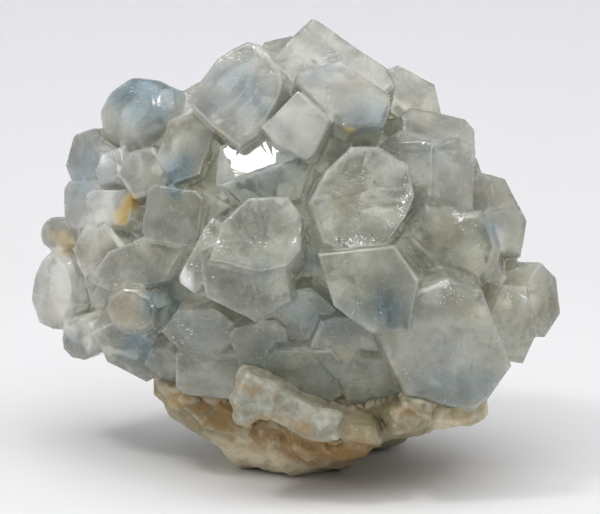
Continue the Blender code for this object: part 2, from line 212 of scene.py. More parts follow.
# Large odd factors that stir whole-numbered coordinates and a seed into one number, and what is kept of it.
STIR_X = 374761393
STIR_Y = 668265263
STIR_Z = 1103515245
STIR_SEED = 12345701
STIR_AGAIN = 1274126177
LOWEST_32_BITS = 0xffffffff
LOWEST_24_BITS = 0xffffff
HALF_RANGE = 0x7fffff


def lattice(x, y, z, seed):
    """A repeatable random number from -1 to 1 for each whole-numbered point."""
    mixed = (x * STIR_X + y * STIR_Y + z * STIR_Z + seed * STIR_SEED) & LOWEST_32_BITS
    mixed = ((mixed ^ (mixed >> 13)) * STIR_AGAIN) & LOWEST_32_BITS
    mixed = (mixed ^ (mixed >> 16)) & LOWEST_24_BITS
    return mixed / HALF_RANGE - 1


def swells(points, length, seed):
    """Smooth noise from -1 to 1 over points in millimetres, with bumps about `length` apart."""
    scaled = points / length
    whole = np.floor(scaled).astype(np.int64)
    part = scaled - whole
    part = part * part * (3 - 2 * part)
    total = np.zeros(len(points))
    for corner in range(8):
        step = np.array((corner & 1, corner >> 1 & 1, corner >> 2 & 1))
        share = np.prod(np.where(step, part, 1 - part), axis=1)
        at = whole + step
        total += share * lattice(at[:, 0], at[:, 1], at[:, 2], seed)
    return total


def ramp(values, low, high):
    """0 below low, 1 above high and an even curve between."""
    share = np.clip((values - low) / (high - low), 0, 1)
    return share * share * (3 - 2 * share)


def terraces(values, steps, riser):
    """Turns smooth values into flat treads with risers that take this share of each step."""
    scaled = values * steps
    whole = np.floor(scaled)
    return (whole + ramp(scaled - whole, 1 - riser, 1)) / steps


# ---------------------------------------------------------------- shaping fine meshes

BOX_MARGIN = 0.01
WELD_DISTANCE = 0.0005
# Neighbouring normals that add up to less than this lie on a fold. It is smoothed out to this share of its
# surroundings, after these rounds of spreading and by these rounds of smoothing.
FOLDED_BELOW = 0.6
FOLD_RIM = 0.15
FOLD_SPREADING = 3
FOLD_SMOOTHING = 5
# The soft rim of a worn place and of a coloured zone, as shares of the radius.
WORN_RIM = 0.6
ZONE_RIM = 0.8
# A coloured zone reaches through the crystals: depth counts for this share, and its rim wavers.
ZONE_DEPTH = 0.35
ZONE_WAVER = 0.45
ZONE_WAVER_LENGTH = 1.1
ZONE_WAVER_SEEDS = (31, 32, 33)
SHORTEST_SPAN = 1e-9
# From one place of the growth frame to another, or round a single one.
Zone = namedtuple("Zone", "start radius strength end", defaults=(None,))


class Clay:
    """A fine mesh held as arrays: points in millimetres of the row frame, and its edges."""

    def __init__(self, piece):
        mesh = piece.data
        self.piece = piece
        self.points = np.empty(len(mesh.vertices) * 3)
        mesh.vertices.foreach_get("co", self.points)
        self.points = self.points.reshape(-1, 3) / MM
        self.edges = np.empty(len(mesh.edges) * 2, dtype=np.int64)
        mesh.edges.foreach_get("vertices", self.edges)
        self.edges = self.edges.reshape(-1, 2)
        self.valence = np.bincount(self.edges.ravel(), minlength=len(self.points))
        self.find_normals()

    def find_normals(self):
        self.write()
        normals = np.empty(len(self.points) * 3)
        self.piece.data.vertices.foreach_get("normal", normals)
        self.normals = normals.reshape(-1, 3)

    def write(self):
        self.piece.data.vertices.foreach_set("co", (self.points * MM).ravel())
        self.piece.data.update()

    def spread(self, values, edges=None):
        """The mean of each point's neighbours. With only some edges, it holds where every edge is given."""
        if values.ndim == 2:
            return np.stack([self.spread(column, edges) for column in values.T], axis=1)
        a, b = (self.edges if edges is None else edges).T
        count = len(self.points)
        total = np.bincount(a, values[b], count) + np.bincount(b, values[a], count)
        return total / self.valence

    def blur(self, values, rounds):
        for _ in range(rounds):
            values = 0.5 * values + 0.5 * self.spread(values)
        return values

    def relax(self, share, rounds):
        """Moves points towards their neighbours, by this share for each point."""
        share = np.broadcast_to(share, len(self.points))
        moving = share > 0
        edges = self.edges[moving[self.edges].any(axis=1)]
        step = share[moving][:, None] * 0.5
        for _ in range(rounds):
            middles = self.spread(self.points, edges)[moving]
            self.points[moving] += step * (middles - self.points[moving])

    def unfold(self, rounds):
        """Smooths the few places where the surface has folded over itself."""
        for _ in range(rounds):
            self.find_normals()
            agreement = np.linalg.norm(self.spread(self.normals), axis=1)
            folded = self.blur((agreement < FOLDED_BELOW).astype(float), FOLD_SPREADING)
            self.relax(ramp(folded, 0, FOLD_RIM), FOLD_SMOOTHING)
        self.find_normals()

    def ridges(self, rounds):
        """How sharply the surface folds outward (above 0) or inward (below 0), evened out."""
        bend = self.points - self.spread(self.points)
        return self.blur(np.einsum("ij,ij->i", bend, self.normals), rounds)

    def push(self, amounts):
        """Moves each point out along its normal by its amount, in millimetres."""
        self.points += self.normals * amounts[:, None]

    def store(self, name, values):
        """Keeps a value for each point, for the material to read."""
        attribute = self.piece.data.attributes.new(name, "FLOAT", "POINT")
        attribute.data.foreach_set("value", values.astype(np.float32))

    def near(self, centre, radius):
        """1 at a place of the growth frame, falling to 0 at this radius."""
        middle = np.array(place(*centre)) / MM
        away = np.linalg.norm(self.points - middle, axis=1)
        return ramp(1 - away / radius, 0, WORN_RIM)

    def zones(self, *groups):
        """For each group, the strongest zone at each point. Rims waver and depth counts for less."""
        axes = np.array((ACROSS, RISE, OUT))
        waver = [ZONE_WAVER * swells(self.points, ZONE_WAVER_LENGTH, seed) for seed in ZONE_WAVER_SEEDS]
        spots = (self.points - np.array(HEART) / MM) @ axes.T + np.stack(waver, axis=1)
        strengths = []
        for zones in groups:
            strongest = np.zeros(len(spots))
            for zone in zones:
                start = np.array(zone.start)
                along = np.array(zone.end or zone.start) - start
                share = np.clip((spots - start) @ along / max(along @ along, SHORTEST_SPAN), 0, 1)
                away = (spots - start - share[:, None] * along) * (1, 1, ZONE_DEPTH)
                inside = 1 - np.linalg.norm(away, axis=1) / zone.radius
                strongest = np.maximum(strongest, zone.strength * ramp(inside, 0, ZONE_RIM))
            strengths.append(strongest)
        return strengths

    def keep_in_box(self, node):
        """Holds the surface inside the CAD node's own box."""
        low, high = (np.array(corner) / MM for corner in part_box(node))
        self.points = np.clip(self.points, low + BOX_MARGIN, high - BOX_MARGIN)


def apply_modifiers(piece):
    evaluated = piece.evaluated_get(bpy.context.evaluated_depsgraph_get())
    shaped = bpy.data.meshes.new_from_object(evaluated)
    piece.modifiers.clear()
    piece.data = shaped


def fine_copy(name, node, voxel):
    """A finely and evenly meshed copy of a CAD node, drawn back onto its flat faces and sharp edges."""
    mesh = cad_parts[node].data.copy()
    bm = bmesh.new()
    bm.from_mesh(mesh)
    bmesh.ops.remove_doubles(bm, verts=bm.verts, dist=WELD_DISTANCE * MM)
    bm.to_mesh(mesh)
    bm.free()
    mesh.materials.clear()
    piece = bpy.data.objects.new(name, mesh)
    mould = bpy.data.objects.new(name + "_mould", mesh.copy())
    for made in (piece, mould):
        bpy.context.scene.collection.objects.link(made)
    remesh = piece.modifiers.new("remesh", "REMESH")
    remesh.mode = "VOXEL"
    remesh.voxel_size = voxel * MM
    snap = piece.modifiers.new("snap", "SHRINKWRAP")
    snap.target = mould
    snap.wrap_method = "NEAREST_SURFACEPOINT"
    apply_modifiers(piece)
    bpy.data.objects.remove(mould)
    return piece


def thin_out(piece, triangles):
    """Merges triangles where the surface is flat, until about this many are left."""
    count = sum(polygon.loop_total - 2 for polygon in piece.data.polygons)
    if count > triangles:
        decimate = piece.modifiers.new("thin", "DECIMATE")
        decimate.ratio = triangles / count
        decimate.use_collapse_triangulate = True
        apply_modifiers(piece)
    keep_largest_body(piece)
    piece.data.shade_smooth()


def keep_largest_body(piece):
    """Deletes the tiny closed pockets that meshing leaves between touching crystals."""
    bm = bmesh.new()
    bm.from_mesh(piece.data)
    unseen = set(bm.faces)
    bodies = []
    while unseen:
        body = [unseen.pop()]
        for face in body:
            for edge in face.edges:
                for other in edge.link_faces:
                    if other in unseen:
                        unseen.remove(other)
                        body.append(other)
        bodies.append(body)
    bodies.sort(key=len)
    pockets = [face for body in bodies[:-1] for face in body]
    bmesh.ops.delete(bm, geom=pockets, context="FACES")
    bm.to_mesh(piece.data)
    bm.free()


def flatten_shading(piece):
    """Lets the largest faces round a corner set its normals, so a flat facet shades flat up to its edge."""
    piece.modifiers.new("weigh", "WEIGHTED_NORMAL")
    apply_modifiers(piece)


def store_zones(piece, table):
    """Keeps each kind of zone as a value for each point."""
    clay = Clay(piece)
    for name, strength in zip(table, clay.zones(*table.values())):
        clay.store(name, strength)


# ---------------------------------------------------------------- the crystals

CRYSTAL_VOXEL = 0.085
CRYSTAL_TRIANGLES = 195000
# Rounded, water-worn crystals whose facets run into each other: place, radius and rounds of smoothing.
WORN = [
    ((-9.6, 8.6, 0.2), 3.9, 60),
    ((-14.5, 1.4, -3.2), 2.4, 40),
    ((-9.4, -3.0, 4.2), 2.2, 10),
    ((-12.7, -4.8, -1.0), 2.4, 25),
    ((8.4, 0.6, 6.5), 3.6, 12),
    ((-14.8, -1.9, -2.8), 3.2, 12),
]
# The one polished face that mirrors the window: its middle and reach.
MIRROR_FACE = ((-2.8, 5.6, 7.4), 5.5)
FIRST_SMOOTHING = 0.5
# An outer edge is where the surface bends outward, from the first value on and fully at the second. Its
# pale rim, painted light along the outer edges, is spread over RIM_WIDTH. A crevice, where shade is
# painted, is where it bends inward.
EDGE_BENDS = (0.06, 0.3)
RIM_WIDTH = 1.5
RIM_BENDS = (0.0, 0.3)
CREVICE_BLUR = 4
CREVICE_BENDS = (0.01, 0.08)

# A field of noise for a relief: the length of its bumps and its seed. Depths are in millimetres, and each
# pair of levels says where in the noise the relief begins and where it is full.
Field = namedtuple("Field", "length seed")
NICKS = Field(0.7, 3)
SMALL_NICKS = Field(0.3, 4)
SMALL_NICKS_SHARE = 0.5
NICK_LEVELS = (0.35, 0.9)
NICK_SPREADING = 3
NICK_DEPTH = 0.16
LAYERS = Field(3.4, 8)
LAYER_WANDER = Field(1.2, 9)
LAYER_WANDER_SHARE = 0.25
LAYER_STEPS = 3.5
LAYER_RISER = 0.25
LAYER_HEIGHT = 0.07
LAYER_SINK = 0.05
DENT_PATCHES = Field(2.2, 14)
DENT_PATCH_LEVELS = (0.2, 0.6)
DENTS = Field(0.42, 15)
DENT_LEVELS = (0.45, 0.8)
DENT_DEPTH = 0.02
CRYSTAL_UNFOLDING = 3

CRYSTAL_ZONES = {
    # Clear blue growth zones of the outer crystals.
    "azure": [
        Zone((-3.6, 10.0, 7.0), 1.3, 0.5, (-2.4, 8.6, 7.0)), Zone((-5.0, 8.2, 7.0), 1.2, 0.2),
        Zone((-2.0, 8.0, 7.4), 0.8, 0.5), Zone((3.4, 7.8, 6.6), 1.2, 0.6, (4.4, 7.3, 6.6)),
        Zone((1.0, 10.0, 6.0), 0.9, 0.4), Zone((2.0, 11.0, 2.5), 1.2, 0.3),
        Zone((-1.8, 4.3, 7.6), 2.2, 0.25), Zone((-3.0, 3.9, 7.6), 1.0, 0.5, (-2.0, 4.1, 7.8)),
        Zone((-0.4, 4.8, 7.6), 0.9, 0.5), Zone((-9.4, 9.8, 1.4), 3.3, 1.0, (-8.8, 9.6, 1.4)),
        Zone((-12.4, 5.2, -1.2), 2.2, 0.6), Zone((-6.7, 5.1, 4.8), 1.2, 0.9, (-7.2, 4.2, 4.8)),
        Zone((-9.0, -4.9, 2.0), 1.5, 1.0), Zone((10.8, 1.6, 4.2), 1.8, 0.5),
        Zone((7.0, 4.6, -7.4), 2.4, 0.6),
    ],
    # Dusky grey-blue zones.
    "blue": [
        Zone((4.7, -2.7, 10.2), 1.9, 1.0), Zone((7.2, -7.2, 9.0), 2.0, 0.8, (9.6, -7.0, 9.0)),
        Zone((8.0, -4.6, 9.2), 1.8, 0.3), Zone((-7.6, -2.9, 4.4), 1.5, 1.0, (-7.4, -2.0, 4.4)),
        Zone((-2.0, -0.9, 9.4), 1.2, 0.7), Zone((0.4, -0.4, 8.0), 1.3, 0.8),
        Zone((0.0, -3.0, 7.8), 1.9, 0.8, (2.4, -3.6, 7.8)), Zone((-1.6, -5.4, 7.2), 1.6, 0.7),
        Zone((1.6, -6.4, 6.6), 1.6, 0.5), Zone((-5.6, -4.4, 6.0), 1.5, 0.5),
        Zone((10.8, 1.6, 4.2), 1.8, 0.4), Zone((6.4, 2.6, 7.6), 1.3, 0.6),
        Zone((7.4, 5.8, 5.0), 1.6, 0.4), Zone((-13.2, -4.9, -0.6), 1.6, 0.5),
        Zone((0.6, 2.0, -10.0), 2.5, 0.9), Zone((-6.4, -1.0, -9.0), 2.2, 0.8),
    ],
    # Ochre stains in the gaps between crystals.
    "stain": [
        Zone((-9.7, 3.1, 2.0), 1.0, 1.0, (-9.9, 2.2, 2.0)),
        Zone((-14.4, 0.9, -2.0), 0.9, 0.8, (-13.4, 0.8, -1.6)),
        Zone((11.3, 4.0, 3.0), 0.6, 0.6, (11.9, 3.2, 2.4)),
        Zone((2.2, 6.9, 6.9), 0.45, 0.8, (3.0, 6.9, 6.9)), Zone((-4.6, 6.7, 6.4), 0.5, 0.7),
        Zone((3.0, 9.6, 6.6), 1.3, 0.25), Zone((2.6, 3.4, 9.8), 1.4, 0.2),
        Zone((2.2, -5.4, 8.0), 0.7, 0.5), Zone((8.4, -2.4, 9.6), 0.6, 0.3, (9.2, -3.0, 9.4)),
        Zone((3.0, -3.0, -9.0), 1.4, 0.6), Zone((-3.0, 6.0, -8.8), 1.0, 0.5),
    ],
    # Cream and peach crystals of the left end.
    "cream": [
        Zone((-9.4, -3.0, 4.4), 2.0, 1.0), Zone((-11.6, 0.4, 1.0), 2.2, 0.6),
        Zone((-14.0, -2.8, -2.0), 2.0, 0.5), Zone((13.6, -2.6, 3.0), 2.4, 0.3),
    ],
    # Crystals with a yellowish tinge.
    "yellow": [
        Zone((3.2, 3.4, 9.8), 3.6, 0.7), Zone((7.8, -3.6, 9.2), 3.6, 0.9),
        Zone((8.4, 0.4, 8.0), 3.4, 0.6), Zone((13.0, -2.4, 4.0), 3.2, 1.0),
        Zone((3.0, -0.6, 10.0), 2.4, 0.6), Zone((0.4, 6.4, 5.4), 1.8, 0.6),
        Zone((-14.4, 1.8, -3.0), 1.8, 0.8),
    ],
    # Milkier crystals.
    "milky": [
        Zone((-3.5, 9.0, 7.0), 4.2, 1.0), Zone((2.0, 9.0, 6.0), 3.6, 0.7),
        Zone((1.9, 11.0, 3.0), 3.4, 0.5), Zone((-1.8, 4.4, 7.6), 2.2, 1.0),
        Zone((-0.2, 7.1, 8.0), 2.8, 1.0), Zone((7.8, -3.4, 9.2), 3.4, 0.35),
        Zone((-12.4, 3.6, -1.0), 4.5, 0.9), Zone((-14.4, -2.0, -2.4), 4.0, 1.0),
        Zone((-9.6, 6.0, 1.6), 2.8, 0.7), Zone((-11.4, -0.4, 1.0), 3.0, 0.7),
        Zone((3.0, 3.0, -10.0), 4.0, 0.6), Zone((-7.0, 5.0, -8.0), 4.0, 0.6),
    ],
    # Greyer, clearer crystals of the middle, and painted shade on the underside: both are laid on as a
    # darker grey.
    "grey": [
        Zone((-2.6, 1.6, 9.8), 3.8, 1.0), Zone((-3.2, -1.4, 9.4), 3.4, 1.0),
        Zone((3.6, -1.6, 10.0), 3.4, 0.8), Zone((-5.2, -4.6, 5.6), 4.6, 1.0),
        Zone((0.8, -5.0, 7.2), 4.6, 1.0), Zone((2.4, 6.2, 4.6), 2.0, 0.7),
        Zone((3.4, 3.4, 9.8), 3.8, 0.75), Zone((-9.4, -5.6, 1.4), 2.8, 0.7),
        Zone((6.6, 4.6, 7.0), 3.0, 0.25), Zone((0.6, 11.2, 3.0), 1.6, 0.4),
        Zone((2.8, 8.6, 6.6), 2.4, 0.25),
    ],
    # Places crowded with etched specks that are painted near white as glints.
    "etched_and_painted_glints": [
        Zone((-5.0, 10.6, 7.2), 0.5, 0.8, (-4.2, 11.2, 7.2)), Zone((-3.8, 11.2, 6.8), 0.35, 1.0),
        Zone((-2.8, 11.3, 6.8), 0.3, 1.0), Zone((-0.8, 11.9, 1.6), 0.35, 1.0),
        Zone((0.3, 12.5, 3.4), 0.3, 1.0), Zone((1.2, 12.3, 3.0), 0.35, 1.0, (2.0, 11.6, 3.2)),
        Zone((-0.5, 9.8, 6.4), 0.4, 1.0, (-0.7, 9.1, 6.6)), Zone((-0.4, 7.9, 8.2), 0.9, 0.35),
        Zone((2.3, 7.6, 7.2), 0.45, 0.9, (3.0, 6.9, 7.4)),
        Zone((4.5, 6.7, 6.6), 0.3, 1.0, (5.1, 6.5, 6.6)),
        Zone((2.6, 9.8, 6.6), 0.3, 0.5, (4.8, 8.3, 6.8)),
        Zone((2.6, 5.0, 9.4), 0.6, 0.9, (3.7, 4.2, 9.6)),
        Zone((5.0, 4.5, 9.4), 0.5, 0.9, (6.0, 3.6, 9.4)),
        Zone((5.9, 3.5, 9.4), 0.5, 1.0, (4.9, 1.3, 9.6)),
        Zone((1.6, 2.4, 9.6), 0.5, 0.9, (2.0, 1.0, 9.6)),
        Zone((2.2, 0.9, 9.6), 0.5, 0.8, (4.2, 0.8, 9.8)),
        Zone((9.0, 2.6, 6.4), 0.3, 1.0, (8.8, 1.9, 6.6)),
        Zone((7.6, -1.3, 9.4), 0.5, 1.0, (8.3, -2.0, 9.4)), Zone((5.4, 0.8, 8.6), 0.8, 0.4),
        Zone((-4.2, 3.3, 9.6), 0.5, 0.8, (-3.4, 3.6, 9.6)),
        Zone((-4.9, 2.1, 9.4), 0.5, 0.9, (-4.3, 0.6, 9.8)),
        Zone((0.0, 1.8, 9.8), 0.25, 1.0, (-0.2, 0.3, 9.8)),
        Zone((-4.5, 2.2, 9.2), 0.35, 1.0, (-6.5, -1.2, 8.2)),
        Zone((-6.2, -1.2, 8.4), 0.55, 1.0, (-6.4, -2.0, 8.2)),
        Zone((-4.6, -2.6, 9.2), 0.4, 1.0, (-4.0, -3.0, 9.2)),
        Zone((-5.8, 2.2, 7.0), 0.3, 1.0, (-5.4, 1.4, 7.0)), Zone((-8.4, 0.0, 5.0), 0.3, 1.0),
        Zone((-8.9, 1.0, 4.4), 0.3, 1.0), Zone((-6.7, 5.3, 5.2), 0.3, 1.0),
        Zone((-8.8, 6.9, 3.2), 0.35, 0.9), Zone((-8.4, 8.3, 2.8), 0.8, 0.8, (-7.4, 8.8, 2.4)),
        Zone((-10.8, 3.6, 2.2), 0.4, 0.9, (-9.9, 3.6, 2.4)),
        Zone((12.4, -1.6, 6.0), 0.5, 0.8, (12.9, -2.6, 5.4)), Zone((0.2, -1.0, 8.4), 0.9, 0.5),
        Zone((-0.6, -3.0, 8.0), 1.4, 0.35), Zone((-2.4, -6.0, 7.4), 1.2, 0.35),
        Zone((4.5, 10.0, 5.2), 0.4, 0.7),
    ],
    # Bluish white facets and edges: partly frost, partly a painted reflection of the lights.
    "frost_and_painted_glare": [
        Zone((-6.2, -0.4, 8.7), 0.7, 1.0, (-6.5, -1.9, 8.3)),
        Zone((-11.3, 5.8, 0.2), 0.5, 1.0, (-10.2, 4.6, 0.8)), Zone((12.3, -2.3, 5.6), 0.5, 0.9),
        Zone((-11.2, 3.4, 1.6), 0.35, 1.0, (-9.9, 3.4, 2.0)), Zone((-7.6, -0.6, 5.4), 0.25, 0.8),
        Zone((-2.3, 9.6, -9.0), 1.2, 0.6, (-1.0, 7.0, -9.6)),
    ],
    # The lower right of the shoulder crystal, where its growth layers show as nested arcs.
    "layered": [
        Zone((-3.0, 8.4, 7.2), 2.4, 1.0, (-3.4, 7.2, 7.4)),
    ],
}


def shape_crystals():
    voxel = CRYSTAL_VOXEL
    piece = fine_copy("crystal_cluster", "euclase_crystals", voxel)
    clay = Clay(piece)
    clay.relax(FIRST_SMOOTHING, 1)
    for centre, radius, rounds in WORN:
        clay.relax(clay.near(centre, radius), rounds)
    clay.find_normals()
    folds = clay.ridges(1) / voxel
    rough = 1 - clay.near(*MIRROR_FACE)
    convex = ramp(folds, *EDGE_BENDS)
    # Nicks along the outer edges.
    nick_field = swells(clay.points, *NICKS) + SMALL_NICKS_SHARE * swells(clay.points, *SMALL_NICKS)
    nicks = ramp(nick_field, *NICK_LEVELS) * clay.blur(convex, NICK_SPREADING) * rough
    clay.push(-NICK_DEPTH * nicks)
    # Growth layers that end in low, winding steps.
    layers = swells(clay.points, *LAYERS) + LAYER_WANDER_SHARE * swells(clay.points, *LAYER_WANDER)
    clay.push((LAYER_HEIGHT * terraces(layers, LAYER_STEPS, LAYER_RISER) - LAYER_SINK) * rough)
    # Small etched dents, in patches.
    patches = ramp(swells(clay.points, *DENT_PATCHES), *DENT_PATCH_LEVELS)
    dents = ramp(swells(clay.points, *DENTS), *DENT_LEVELS)
    clay.push(-DENT_DEPTH * dents * patches * rough)
    clay.unfold(CRYSTAL_UNFOLDING)
    clay.keep_in_box("euclase_crystals")
    clay.write()
    clay.store("edge_wear", convex)
    clay.store("polish", clay.near(*MIRROR_FACE))
    # Painted light: a pale band along the outer edges.
    clay.store("painted_rim_light", ramp(clay.blur(convex, round(RIM_WIDTH / voxel)), *RIM_BENDS))
    # Painted shade: the crevices, where the surface bends inward, are tinted a little darker and yellower.
    clay.store("painted_crevice_shade", ramp(-clay.blur(folds, CREVICE_BLUR), *CREVICE_BENDS))
    thin_out(piece, CRYSTAL_TRIANGLES)
    store_zones(piece, CRYSTAL_ZONES)
    flatten_shading(piece)
    return piece


# ---------------------------------------------------------------- the feldspar

MATRIX_VOXEL = 0.085
MATRIX_TRIANGLES = 120000
# The creases between the lumps: the bends that count as one, and how deep they are filled in.
CREASE_BLUR = 14
CREASE_BENDS = (0.0005, 0.006)
CREASE_FILL = 0.35
CREASE_FILL_BLUR = 6
# How much calmer the icy ledge is than the rest.
ICY_CALM = 0.7
LUMP_SMOOTHING = 4
LUMPS = Field(1.7, 20)
LUMP_HEIGHT = 0.2
LUMP_SINK = 0.05
# Grain of broken feldspar, as heights of three fields.
COARSE_GRAIN = Field(0.8, 21)
COARSE_GRAIN_HEIGHT = 0.09
MIDDLE_GRAIN = Field(0.4, 22)
MIDDLE_GRAIN_HEIGHT = 0.05
GRIT = Field(0.22, 24)
GRIT_HEIGHT = 0.04
# A way in which the feldspar breaks flat, with the steps for each millimetre, their depth and a seed.
Cleavage = namedtuple("Cleavage", "way steps depth seed")
CLEAVAGES = [Cleavage((0.55, 0.75, 0.35), 0.9, 0.16, 23), Cleavage((-0.7, 0.3, 0.65), 1.9, 0.08, 25)]
CLEAVAGE_RISER = 0.3
CLEAVAGE_WANDER = 0.35
CLEAVAGE_WANDER_LENGTH = 1.6
# The feldspar within this reach of a crystal swells against it by this much.
HOLD_REACH = 0.75
HOLD_PUSH = 0.42
HOLD_BLUR = 2
HOLD_FULL = 0.5
MATRIX_UNFOLDING = 6
MATRIX_EDGE_BENDS = (0.04, 0.16)

MATRIX_ZONES = {
    # Rust in the seams.
    "rust": [
        Zone((-6.6, -7.6, 1.0), 1.6, 0.9, (-2.0, -10.0, 3.0)),
        Zone((-1.0, -10.4, 4.0), 1.6, 1.0, (3.6, -11.2, 4.0)), Zone((3.4, -10.2, 6.0), 1.3, 0.8),
        Zone((-3.2, -7.0, 8.6), 0.5, 0.6, (-2.4, -7.2, 8.8)),
        Zone((-2.4, -8.9, 8.2), 0.6, 0.6, (0.4, -9.4, 8.2)),
        Zone((5.2, -8.2, 8.4), 0.6, 0.6, (6.4, -8.4, 8.4)),
    ],
    # Cream feldspar of the heel and the right side.
    "pale": [
        Zone((-3.4, -10.6, -0.4), 2.6, 1.0, (0.0, -11.4, 0.0)), Zone((-7.0, -7.4, -0.4), 1.4, 0.7),
        Zone((8.4, -8.6, 2.0), 2.2, 1.0, (9.8, -8.4, 1.0)), Zone((1.2, -8.4, -7.0), 6.0, 0.8),
    ],
    # The grey, slightly icy ledge in front.
    "icy": [
        Zone((-2.6, -7.2, 8.0), 2.0, 1.0, (1.4, -9.0, 8.2)), Zone((-3.0, -8.6, 7.6), 0.9, 1.0),
        Zone((5.9, -8.3, 7.6), 1.0, 0.3),
    ],
}


def grip_on(crystals, clay):
    """1 where the matrix touches a crystal, falling to 0 at HOLD_REACH."""
    tree = BVHTree.FromObject(crystals, bpy.context.evaluated_depsgraph_get())
    grip = np.zeros(len(clay.points))
    for i, point in enumerate(clay.points):
        found, _, _, away = tree.find_nearest(Vector(point) * MM, HOLD_REACH * MM)
        if found is not None:
            grip[i] = 1 - away / MM / HOLD_REACH
    return grip


def shape_matrix(crystals):
    piece = fine_copy("feldspar_matrix", "matrix", MATRIX_VOXEL)
    clay = Clay(piece)
    clay.relax(1.0, 1)
    clay.find_normals()
    # Rounded swellings first, with the creases between the lumps filled in.
    creases = ramp(-clay.blur(clay.ridges(2), CREASE_BLUR), *CREASE_BENDS)
    clay.push(CREASE_FILL * clay.blur(creases, CREASE_FILL_BLUR))
    icy = clay.zones(MATRIX_ZONES["icy"])[0]
    coarseness = 1 - ICY_CALM * icy
    clay.relax(coarseness, LUMP_SMOOTHING)
    clay.find_normals()
    clay.push(coarseness * (LUMP_HEIGHT * swells(clay.points, *LUMPS) - LUMP_SINK))
    # Then the grain of broken feldspar and its flat cleavage steps, calmer on the icy ledge.
    coarse = COARSE_GRAIN_HEIGHT * swells(clay.points, *COARSE_GRAIN)
    middle = MIDDLE_GRAIN_HEIGHT * swells(clay.points, *MIDDLE_GRAIN)
    clay.push(coarseness * (coarse + middle))
    for way, steps, depth, seed in CLEAVAGES:
        along = clay.points @ np.array(direction(*way))
        along = along + CLEAVAGE_WANDER * swells(clay.points, CLEAVAGE_WANDER_LENGTH, seed)
        clay.push(coarseness * depth * (terraces(along, steps, CLEAVAGE_RISER) - along + 0.5 / steps))
    clay.push(coarseness * GRIT_HEIGHT * swells(clay.points, *GRIT))
    clay.find_normals()
    # The feldspar grips the crystals, so it closes up on them where they are near.
    clay.push(HOLD_PUSH * ramp(clay.blur(grip_on(crystals, clay), HOLD_BLUR), 0, HOLD_FULL))
    clay.unfold(MATRIX_UNFOLDING)
    clay.keep_in_box("matrix")
    clay.find_normals()
    clay.store("edge_wear", ramp(clay.ridges(1) / MATRIX_VOXEL, *MATRIX_EDGE_BENDS))
    thin_out(piece, MATRIX_TRIANGLES)
    store_zones(piece, MATRIX_ZONES)
    return piece


# ---------------------------------------------------------------- materials

# A noise of a material: the length of its bumps in millimetres, then Blender's own settings and an offset.
Grain = namedtuple("Grain", "length detail roughness twist offset", defaults=(0.0, (0, 0, 0)))
# How a share of something follows another value: between these two levels, from one outcome to the other.
Follow = namedtuple("Follow", "low high to_low to_high", defaults=(0.0, 1.0))
# A surface relief: how high it stands in millimetres, and its strength.
Relief = namedtuple("Relief", "distance strength")


class Look:
    """A material under construction, with short calls for the nodes that it uses."""

    def __init__(self, name):
        self.material = bpy.data.materials.new(name)
        self.material.use_nodes = True
        self.nodes = self.material.node_tree.nodes
        self.links = self.material.node_tree.links
        self.shader = self.nodes["Principled BSDF"]
        self.output = self.nodes["Material Output"]
        coordinates = self.nodes.new("ShaderNodeTexCoord")
        scale = self.nodes.new("ShaderNodeVectorMath")
        scale.operation = "SCALE"
        scale.inputs["Scale"].default_value = 1 / MM
        self.links.new(coordinates.outputs["Object"], scale.inputs[0])
        self.millimetres = scale.outputs[0]

    def feed(self, value, socket):
        """Links an output to a socket, or sets the socket's own value."""
        if isinstance(value, bpy.types.NodeSocket):
            self.links.new(value, socket)
        else:
            socket.default_value = value

    def stored(self, name):
        node = self.nodes.new("ShaderNodeAttribute")
        node.attribute_name = name
        return node.outputs["Fac"]

    def maths(self, operation, a, b=0.0, clamp=False):
        node = self.nodes.new("ShaderNodeMath")
        node.operation = operation
        node.use_clamp = clamp
        self.feed(a, node.inputs[0])
        self.feed(b, node.inputs[1])
        return node.outputs[0]

    def times(self, a, b):
        return self.maths("MULTIPLY", a, b)

    def most(self, first, *others):
        """The largest of some values."""
        for other in others:
            first = self.maths("MAXIMUM", first, other)
        return first

    def vector(self, operation, a, b):
        node = self.nodes.new("ShaderNodeVectorMath")
        node.operation = operation
        self.feed(a, node.inputs[0])
        self.feed(b, node.inputs[1])
        return node.outputs["Value" if operation == "DISTANCE" else "Vector"]

    def noise(self, grain):
        node = self.nodes.new("ShaderNodeTexNoise")
        self.links.new(self.vector("ADD", self.millimetres, grain.offset), node.inputs["Vector"])
        node.inputs["Scale"].default_value = 1 / grain.length
        node.inputs["Detail"].default_value = grain.detail
        node.inputs["Roughness"].default_value = grain.roughness
        node.inputs["Distortion"].default_value = grain.twist
        return node.outputs["Fac"]

    def follow(self, value, way):
        node = self.nodes.new("ShaderNodeMapRange")
        node.interpolation_type = "SMOOTHSTEP"
        self.feed(value, node.inputs["Value"])
        node.inputs["From Min"].default_value = way.low
        node.inputs["From Max"].default_value = way.high
        node.inputs["To Min"].default_value = way.to_low
        node.inputs["To Max"].default_value = way.to_high
        return node.outputs["Result"]

    def mix(self, share, a, b, kind="RGBA"):
        node = self.nodes.new("ShaderNodeMix")
        node.data_type = kind
        self.feed(share, node.inputs["Factor"])
        self.feed(a, node.inputs["A"])
        self.feed(b, node.inputs["B"])
        return node.outputs["Result"]

    def coats(self, body, layers, colours):
        """Lays coats over a body colour, one over the other, each by its share."""
        for name, share in layers:
            body = self.mix(share, body, colours[name])
        return body

    def bump(self, height, relief, share=None, under=None):
        """A relief, at a share of its strength and on top of another normal where these are given."""
        node = self.nodes.new("ShaderNodeBump")
        node.inputs["Distance"].default_value = relief.distance * MM
        strength = relief.strength if share is None else self.times(share, relief.strength)
        self.feed(strength, node.inputs["Strength"])
        self.feed(height, node.inputs["Height"])
        if under is not None:
            self.feed(under, node.inputs["Normal"])
        return node.outputs["Normal"]


